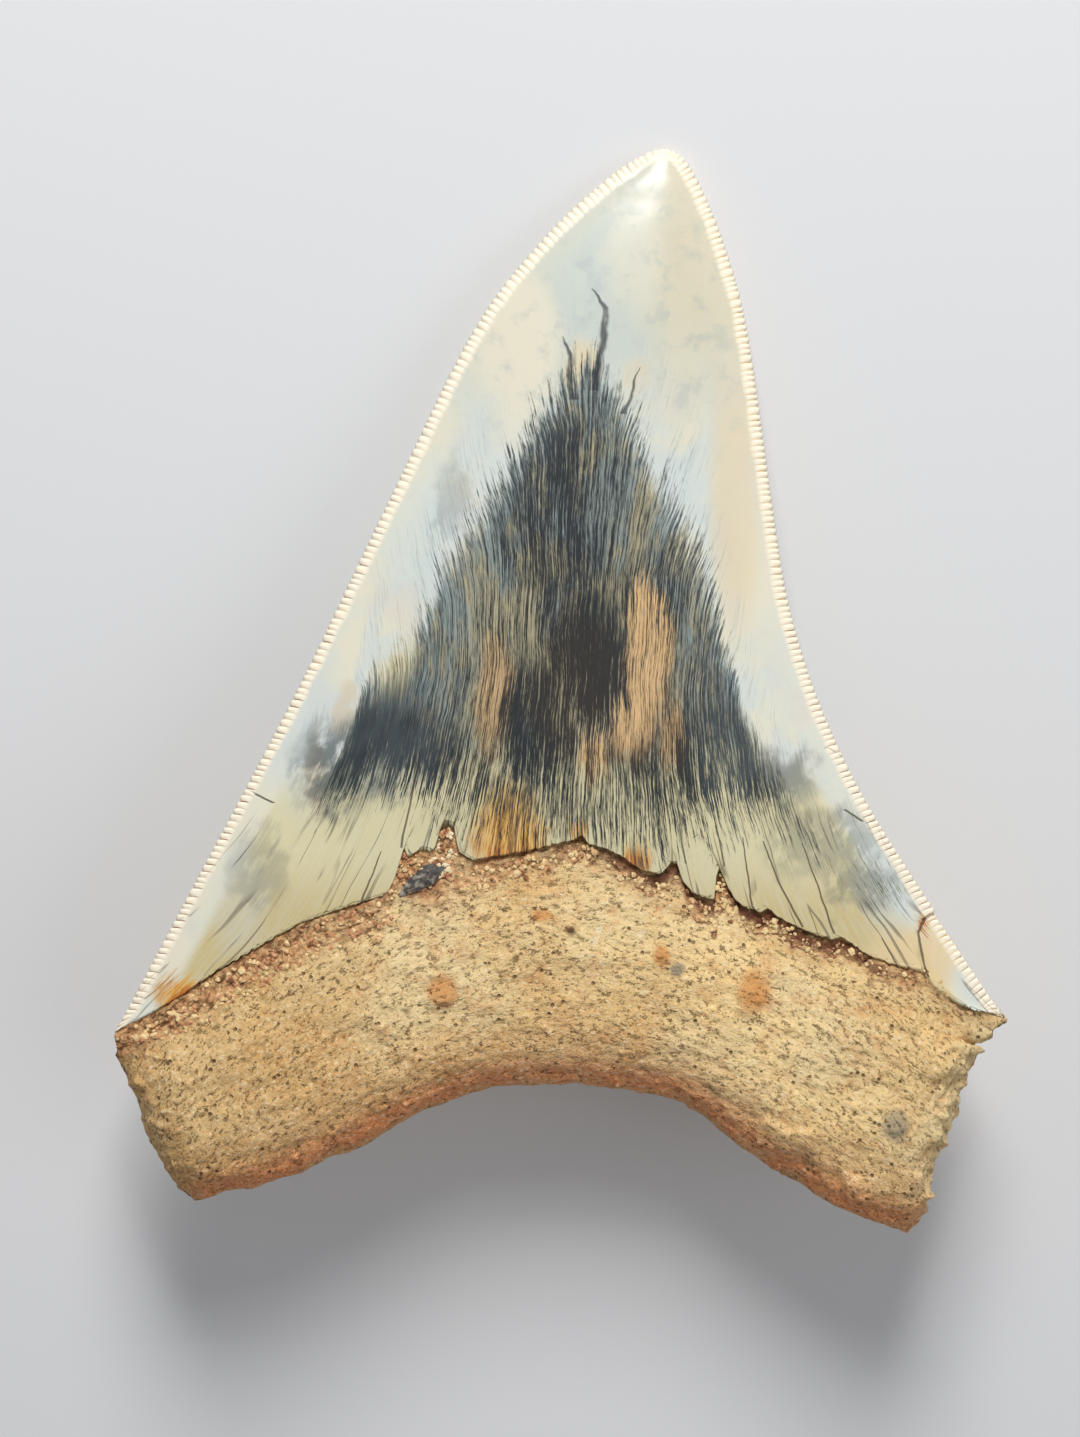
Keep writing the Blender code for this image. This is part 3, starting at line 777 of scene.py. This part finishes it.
# Patches, as x, y, half width, half height and strength
DENSER = [(2.9, 41.0, 4.2, 7.5, 0.46), (-2.8, 34.0, 4.4, 6.5, 0.34), (-0.9, 60.5, 4.8, 8.0, 0.20),
          (-19.5, 31.0, 8.5, 5.5, 0.30), (18.5, 30.5, 7.5, 5.5, 0.20), (12.0, 29.0, 6.0, 4.0, 0.14),
          (1.5, 50.0, 4.5, 7.0, 0.16)]
THINNER = [(9.3, 41.5, 2.8, 8.0, 0.21), (-7.4, 37.0, 2.6, 7.0, 0.10), (-10.5, 48.0, 4.5, 10.0, 0.14),
           (-18.0, 42.5, 2.4, 4.5, 0.22), (7.6, 33.5, 2.2, 3.0, 0.20), (8.0, 60.0, 4.5, 9.0, 0.10)]
TAN_PATCHES = [(9.3, 41.5, 3.0, 8.6, 1.0), (-7.4, 37.0, 2.8, 8.0, 0.65), (7.6, 33.0, 3.0, 4.0, 0.9),
               (3.4, 30.0, 2.2, 3.0, 0.8), (12.2, 32.0, 1.8, 4.5, 0.9)]
TAN_FRINGE = [(-23.0, 35.4, 1.6, 3.4, 0.5), (-26.6, 28.5, 1.3, 5.0, 0.5)]
BLUE_RIM = [(36.0, 18.0, 4.6, 6.5, 0.6), (-28.0, 36.0, 4.5, 12.0, 0.5), (-35.0, 15.0, 3.5, 6.0, 0.3),
            (44.6, 7.6, 2.2, 4.8, 0.6)]
SMOKE = [(-20.5, 30.5, 8.0, 5.0, 0.7), (-24.4, 29.3, 4.6, 5.8, 0.8), (23.5, 28.0, 4.4, 3.6, 0.65),
         (28.5, 21.5, 6.5, 4.4, 0.45), (32.5, 17.0, 4.4, 3.4, 0.5), (-32.5, 18.5, 3.5, 4.5, 0.35),
         (-11.8, 58.5, 2.0, 4.5, 0.3)]
AMBER_SPOTS = [(-5.6, 21.4, 4.0, 6.2, 1.0), (8.0, 19.3, 1.8, 1.5, 0.9), (1.7, 22.0, 1.1, 1.3, 1.0),
               (-40.8, 5.2, 2.8, 1.4, 1.0), (39.3, 13.0, 0.9, 0.9, 1.0), (42.3, 12.0, 0.8, 1.4, 0.9)]
# Fine cracks and dark wisps: lines from their upper end down, each point as x, y and half width
CRACKS = [[(21.7, 21.5, 0.05), (23.9, 16.0, 0.09), (26.0, 12.2, 0.11)],
          [(19.5, 21.9, 0.04), (20.6, 14.5, 0.09), (21.6, 13.1, 0.11)],
          [(26.0, 21.3, 0.04), (28.0, 15.6, 0.08), (29.5, 11.6, 0.10)],
          [(16.7, 23.2, 0.04), (17.6, 18.8, 0.09)], [(12.6, 23.4, 0.04), (13.5, 19.1, 0.08)],
          [(-15.7, 28.1, 0.07), (-17.3, 20.8, 0.11)], [(-19.4, 20.4, 0.04), (-21.5, 14.5, 0.11)],
          [(-33.9, 27.0, 0.10), (-31.2, 25.6, 0.10)], [(28.6, 31.6, 0.10), (30.3, 30.6, 0.10)],
          [(30.6, 24.9, 0.10), (32.6, 23.6, 0.10)],
          [(40.6, 13.6, 0.10), (39.4, 13.1, 0.14), (38.7, 11.6, 0.13)],
          [(38.7, 11.6, 0.11), (39.1, 9.0, 0.12)], [(39.1, 9.0, 0.10), (39.7, 6.8, 0.08)],
          [(34.6, 11.0, 0.05), (36.6, 7.6, 0.09)]]
WISPS = [[(3.5, 81.0, 0.06), (4.9, 78.9, 0.26)],
         [(4.9, 78.9, 0.30), (4.4, 75.2, 0.42), (3.4, 70.0, 0.50)],
         [(0.0, 75.9, 0.05), (0.9, 73.8, 0.22), (1.3, 69.0, 0.45)], [(8.6, 72.5, 0.04), (6.8, 67.5, 0.30)]]


def stroke(x, y, start, end):
    """A mask of a straight stroke between two of a line's points."""
    (start_x, start_y, start_width), (end_x, end_y, end_width) = start, end
    slant = math.hypot(end_x - start_x, end_y - start_y) / (start_y - end_y)
    share = y.node("ShaderNodeMapRange", {}, {"Value": y, "From Min": start_y, "From Max": end_y})
    away = abs(x - start_x - share * (end_x - start_x))
    width = share * (slant * (end_width - start_width)) + slant * start_width
    within = y.math("COMPARE", y, (start_y + end_y) / 2, (start_y - end_y) / 2)
    return rise(1.6, 0.4, away / width) * within


def strokes(x, y, lines):
    return functools.reduce(larger, [stroke(x, y, *ends) for line in lines for ends in zip(line, line[1:])])


def patches(x, y, spots):
    """A mask of oval spots, each with its strength."""
    return functools.reduce(larger, [spot(x, y, *at) * strength for *at, strength in spots])


def streak_line(x, y):
    """Which of the streaks' lines passes a place, counted from the middle one in millimetres."""
    return (x - (0.055 * y - 0.4)) / ((y - WAIST) ** 2 * FLARE + 1)


def reach_of(edge, line):
    """How high up the tooth one of the plume's edges crosses each of the streaks' lines."""
    stops = [((streak_line(x, y) + LINES) / (2 * LINES), y / HIGHEST) for x, y in edge]
    share = (line + LINES) / (2 * LINES)
    return line.node("ShaderNodeValToRGB", {"stops": stops}, {"Fac": share}) * HIGHEST


shader, place = finish(crown, "streaked enamel")
x, y, _ = axes(place)
rim, saw, labial_side, bourlette = (trait(place, name) for name in ("rim", "saw", "labial", "bourlette"))
sway, ruffle = clouds(place, 9, 2) - 0.5, clouds(place, 2.5, 2) - 0.5

# The plume's hairs: their lines, their strands, and how dark they are
line = streak_line(x + sway * 1.4, y)
top, foot = reach_of(CORE_TOP, line), reach_of(CORE_FOOT, line)
curl = rise(9, -5, top - y) * rise(34, 42, y)
hair = line - curl * 1.6 * line / (abs(line) + 3.0) + ruffle * 0.08
strands = clouds(point(hair * 6.0, y * 0.12), 1.0, 3, 0.62)
fine = clouds(point(hair * 9.0 + y * 0.3, y * 0.7), 1.0, 3, 0.7)
tufts = clouds(point(line * 0.9 + 7, y * 0.09), 1.0, 2)
streaks = 0.52 * strands + 0.34 * fine + 0.14 * tufts - 0.5
top_gap, foot_gap = top - y + streaks * 22, y - foot + streaks * 30
plume = rise(-1, 8, top_gap) * rise(-1, 6, foot_gap) * rise(-28, -23, line)
near_x, near_y = x + sway * 3 + ruffle, y + streaks * 14
darkness = 0.6 + patches(near_x, near_y, DENSER) - patches(near_x, near_y, THINNER)
contrast = rise(0.0, 0.6, plume) * (4.6 - 2.2 * rise(13, 20, abs(line)))
ink = rise(0.08, 0.92, plume * darkness + streaks * contrast)
tan = rise(0.15, 0.75, patches(near_x, near_y + streaks * 10, TAN_PATCHES) + streaks * 1.6)
smoke = patches(x + ruffle * 5, y + ruffle * 5 + streaks * 10, SMOKE)
smoke = smoke * rise(0.25, 0.52, clouds(point(x - y * 0.4, y * 0.6), 1.8, 4, 0.6) + streaks * 0.4)

# The pale enamel, blue beside the plume, creamier towards the root
blotches = clouds(place, 12, 4)
base = blend(GREY_WHITE, CREAM, rise(0.44, 0.6, blotches))
base = blend(base, ROSE_WHITE, rise(0.5, 0.66, clouds(point(y + 31, x), 7, 3)) * 0.5)
halo = rise(-11, -2, top_gap) * rise(27, 33, y)
base = blend(base, BLUE_WHITE, halo * rise(0.3, 0.6, clouds(place, 5, 3)) * 0.7)
base = blend(base, HAIR_BLUE, rise(-10, 0, top_gap) * rise(0.0, 0.14, streaks) * rise(27, 33, y) * 0.7)
base = blend(base, OCHRE, spot(x, y, 18.8, 58.3, 3.0, 15.0) * 0.55)
base = blend(base, blend(SAGE_WHITE, DULL_CREAM, rise(7, 13, x)), rise(60, 80, y) * 0.85)
base = blend(base, WARM_CREAM, spot(x + ruffle * 4, y + sway * 8, 8.0, 85.0, 3.4, 8.0) * 0.45)
base = blend(base, WARM_CREAM, spot(x + sway * 8, y, -5.0, 74.0, 4.5, 10.0) * 0.8)
base = blend(base, HAIR_BLUE, rise(0.5, 0.68, clouds(place, 2.4, 4, 0.6)) * rise(58, 74, y) * 0.35)
base = blend(base, OCHRE, spot(x + ruffle * 3, y, 2.2, 71.5, 1.9, 4.2) * 0.7)
base = blend(base, OCHRE, spot(x + ruffle * 3, y, 8.0, 71.5, 1.6, 2.2) * 0.35)
base = blend(base, WARM_CREAM, rise(6, 1, rim) * 0.3)
footing = blend(GREEN_CREAM, FOOT_OCHRE, rise(21, 12, y))
base = blend(base, footing, rise(32, 25, y + ruffle * 4) * rise(3.5, 6, rim) * (0.92 - streaks * 2.5))
base = blend(base, OCHRE, spot(x + ruffle * 2, y, 38.0, 8.5, 5.5, 4.5) * 0.85)
base = blend(base, BLUE_WHITE, patches(x + ruffle * 2, y, BLUE_RIM))
base = blend(base, AMBER, spot(x + ruffle * 2, y, -40.8, 4.7, 3.4, 1.7) * 0.8)
base = blend(base, ROSE_TAN, patches(x + ruffle * 3, y + ruffle * 5, TAN_FRINGE))

# The streaks' pale and dark tones
tone, dapple = clouds(point(line * 0.3 + 4, y * 0.12), 1.0, 3), clouds(point(line * 1.6, y * 0.3), 1.0, 2)
khaki = rise(0.42, 0.6, tone + rise(60, 44, y) * 0.16 + 0.3 * dapple - 0.2)
light = blend(STREAK_GREY, STREAK_KHAKI, khaki)
light = blend(light, STREAK_TEAL, rise(8, 16, abs(line)) * rise(0.35, 0.6, dapple) * 0.8)
light = blend(light, GREEN_CREAM, larger(rise(35, 27, y), spot(x + ruffle, y, -18.0, 42.5, 2.6, 5.5)))
light = blend(light, STREAK_TAN, tan * rise(0.3, 0.5, dapple + 0.1))
dark = blend(CHARCOAL, SMOKE_BLUE, rise(0.36, 0.6, tone) * rise(9, 17, abs(line)) * 0.5)
dark = blend(dark, SMOKE_BLUE, rise(13, 3, top_gap) * rise(27, 33, y) * 0.55)
dark = blend(dark, INK_BROWN, larger(tan, spot(x, y, 1.6, 38.0, 5.5, 9.0)) * 0.75)

# Plume, amber stains and smoke over the enamel, then its fine cracks
color = blend(base, light, rise(0.15, 0.8, plume))
amber = patches(x + ruffle * 3, y + streaks * 18, AMBER_SPOTS)
color = blend(color, AMBER, amber * rise(-0.2, 0.0, streaks) * 0.95)
color = blend(color, BURNT_AMBER, amber * rise(-0.08, 0.06, streaks + ruffle * 0.25) * rise(26, 19, y))
color = blend(color, SMOKE_BLUE, smoke)
color = blend(color, dark, ink)
hairlines = rise(0.02, 0.007, abs(clouds(point(line * 0.55 + 3, y * 0.03), 1.0, 2) - 0.5))
hairlines = hairlines * rise(27, 21, y) * rise(0.4, 0.55, clouds(point(line + 9, y * 0.4), 3, 1))
marks = larger(hairlines * 0.7, strokes(x + sway * 0.5 + ruffle * 0.4, y, CRACKS)) * labial_side
color = blend(color, CRACK_BROWN, marks * 0.85)
wisps = strokes(x + ruffle * 1.2, y, WISPS) * rise(-0.2, 0.02, streaks)
color = blend(color, CHARCOAL, wisps * 0.85)

# The saw teeth's pale beads and the stained gaps between them, and the bourlette
bead_gap = blend(GAP_BROWN, blend(GAP_CREAM, GAP_GOLD, rise(8, 17, x)), rise(30, 76, y))
bead_gap = blend(bead_gap, AMBER, spot(x, y, 41.8, 11.0, 2.4, 4.0))
bead_foot = blend(WARM_CREAM, GAP_GOLD, spot(x, y, 17.0, 82.0, 4.5, 14.0) * 0.7)
bead_gap = blend(bead_gap, bead_foot, rise(1.0, 1.7, rim))
bead_color = blend(bead_gap, BEAD_CREAM, rise(0.25, 0.65, saw))
color = blend(color, bead_color, rise(1.5, 0.9, rim - 0.25 * saw + ruffle * 0.7))
color = blend(color, blend(BOURLETTE_BROWN, INK_BROWN, strands), bourlette)
roughness = 0.22 + 0.12 * blotches + 0.3 * bourlette + 0.15 * rise(1.3, 1.0, rim)
coat(shader, color, roughness, 0.5 * strands * plume + 0.15 * clouds(place, 1.2, 3) - marks, 0.08)

# --- Sand grains ---
# Coarse sand and crumbs of the rock that the tooth lay in. Iron has cemented them to the root in a
# crooked band along the enamel's foot, deepest in its notches.

GRAINS = 620
GRAIN_SIZES = (0.16, 0.5)                   # radii, of which each grain then keeps a part
GRAIN_KEPT = (0.6, 1.0)
GRAIN_SQUASH = ((0.7, 1.3), (0.7, 1.3), (0.5, 0.9))
GRAIN_ROUGHNESS = (0.75, 1.1)
GRAIN_TILT = 0.5
# Notches filled with crumbs: x, y, half width, half height and how many
FILLS = [(-12.5, 20.4, 0.9, 2.6, 46), (-16.6, 18.6, 1.6, 2.0, 34), (-13.6, 18.4, 2.0, 1.3, 24),
         (17.4, 16.2, 0.7, 2.0, 26), (2.2, 20.4, 1.6, 0.8, 14), (24.0, 12.2, 2.4, 0.8, 20)]

reach = np.interp(skin[:, 0], *CRUST_WIDTHS)
spots = np.flatnonzero((skin_front > 0.5) & (skin_below > 0.1) & (skin_below < reach))
seats = [skin[at] for at in (rng.choice(spots) for _ in range(GRAINS))]
front = skin[skin_front > 0.5]
for x, y, half_width, half_height, count in FILLS:
    for _ in range(count):
        turn, out = rng.uniform(0, math.tau), math.sqrt(rng.random())
        seat = np.array([x + half_width * out * math.cos(turn), y + half_height * out * math.sin(turn)])
        nearest = front[np.argmin(np.hypot(*(front[:, :2] - seat).T))]
        seats.append(np.append(seat, nearest[2] + 0.1))
mesh = bmesh.new()
for seat in seats:
    size = rng.uniform(*GRAIN_SIZES) * rng.uniform(*GRAIN_KEPT)
    made = bmesh.ops.create_icosphere(mesh, subdivisions=1, radius=size)
    squash = Matrix.Diagonal((*(rng.uniform(*span) for span in GRAIN_SQUASH), 1))
    turn = Matrix.Rotation(rng.uniform(0, math.tau), 4, "Z")
    turn @= Matrix.Rotation(rng.uniform(-GRAIN_TILT, GRAIN_TILT), 4, "X")
    seat = Matrix.Translation(Vector(seat) + Vector((0, 0, size * 0.25)))
    for vert in made["verts"]:
        vert.co *= rng.uniform(*GRAIN_ROUGHNESS)
    bmesh.ops.transform(mesh, verts=made["verts"], matrix=seat @ turn @ squash)
sand_grains = piece("sand_grains", mesh, smooth=False)

shader, place = finish(sand_grains, "cemented sand")
x, y, _ = axes(place)
kind = clouds(place, 1.1, 2)
color = blend(RED_SAND, PALE_CLAY_AND_HIGHLIGHT, rise(0.44, 0.6, kind + 0.06 * rise(-16, -12, x)))
color = blend(color, PALE_GRAIN_AND_HIGHLIGHT, spot(x, y, -12.6, 20.8, 2.0, 4.0) * rise(0.4, 0.5, kind))
color = blend(color, GROOVE_BROWN, rise(0.42, 0.32, kind - 0.08 * rise(12, 18, x)) * 0.7)
color = blend(color, PALE_GRAIN_AND_HIGHLIGHT, rise(0.55, 0.7, clouds(place, 0.3, 2)) * 0.3)
coat(shader, color, 0.7 + 0.2 * kind, clouds(place, 0.15, 2), 0.1)

# --- Pebble ---
# A sharp splinter of dark grey rock, jammed in the left notch of the enamel's foot and held there by
# the cemented sand.

PEBBLE_PLACE = (-15.2, 17.3, 0.5)
PEBBLE_SIZE = (3.3, 1.7, 1.3)
PEBBLE_TURN = math.radians(38)
PEBBLE_POINT = 0.75          # how much it narrows towards its lower end
PEBBLE_ROUGHNESS = (0.82, 1.16)
ROCK_GREY = rgb(70, 67, 64)
ROCK_GLINT = rgb(168, 158, 144)
ROCK_RUST = rgb(176, 134, 102)

mesh = bmesh.new()
bmesh.ops.create_icosphere(mesh, subdivisions=2, radius=1)
for vert in mesh.verts:
    vert.co *= rng.uniform(*PEBBLE_ROUGHNESS)
    vert.co.yz *= 1 - PEBBLE_POINT * (1 - vert.co.x) / 2
bmesh.ops.transform(mesh, verts=mesh.verts,
                    matrix=Matrix.Translation(PEBBLE_PLACE) @ Matrix.Rotation(PEBBLE_TURN, 4, "Z")
                    @ Matrix.Diagonal((*PEBBLE_SIZE, 1)))
pebble = piece("pebble", mesh, smooth=False)

shader, place = finish(pebble, "dark rock splinter")
color = blend(ROCK_GREY, ROCK_GLINT, rise(0.45, 0.66, clouds(place, 1.0, 4, 0.6)))
color = blend(color, ROCK_RUST, rise(0.6, 0.7, clouds(place, 0.6, 2)) * 0.6)
coat(shader, color, 0.45 + 0.3 * clouds(place, 0.4, 2), clouds(place, 0.3, 4), 0.1)

# --- Floor, light and camera ---
# A plain pale floor under soft studio light. The camera looks squarely onto the tooth's labial face, from
# so far that the tooth hardly looms, and its frame is placed in pixels of one size at the tooth.

FLOOR_SIZE = 2
MM_A_PIXEL = 0.108
IMAGE_WIDTH, IMAGE_HEIGHT = 1080, 1437
ORIGIN_PIXEL = (561, 1040)                  # where the upright tooth's own origin comes in the image
VIEW_DISTANCE = 500.0
SENSOR = 36
# Name, place, size in metres and power in watts
LAMPS = [("key", (0.0, 0.6, 0.47), 0.25, 4.3), ("glint", (0.03, 0.5, 0.6), 0.1, 0.8),
         ("fill", (0.5, -0.1, 0.6), 0.6, 0.9)]
LAMPS_AIM = (0, 0, 0.01)
STUDIO_COLOR = (0.9, 0.93, 1.0, 1)
STUDIO_STRENGTH = 0.25

floor_data = bpy.data.meshes.new("floor")
mesh = bmesh.new()
bmesh.ops.create_grid(mesh, x_segments=1, y_segments=1, size=FLOOR_SIZE)
mesh.to_mesh(floor_data)
mesh.free()
floor = placed("floor", floor_data)

aim_x = (IMAGE_WIDTH / 2 - ORIGIN_PIXEL[0]) * MM_A_PIXEL
aim_y = (ORIGIN_PIXEL[1] - IMAGE_HEIGHT / 2) * MM_A_PIXEL
camera_data = bpy.data.cameras.new("camera")
camera = placed("camera", camera_data)
camera.location = laid(np.array([[aim_x, aim_y, VIEW_DISTANCE]]))[0]
camera.rotation_euler = (-LEAN, 0, 0)
camera_data.sensor_width = SENSOR
camera_data.lens = SENSOR * VIEW_DISTANCE / (IMAGE_HEIGHT * MM_A_PIXEL)
bpy.context.scene.camera = camera
bpy.context.scene.view_settings.view_transform = "Standard"

for name, place, size, power in LAMPS:
    lamp_data = bpy.data.lights.new(name, "AREA")
    lamp_data.size = size
    lamp_data.energy = power
    lamp = placed(name, lamp_data)
    lamp.location = place
    lamp.rotation_euler = (Vector(LAMPS_AIM) - Vector(place)).to_track_quat("-Z", "Y").to_euler()

world = bpy.data.worlds.new("studio")
world.use_nodes = True
background = world.node_tree.nodes["Background"]
background.inputs["Color"].default_value = STUDIO_COLOR
background.inputs["Strength"].default_value = STUDIO_STRENGTH
bpy.context.scene.world = world
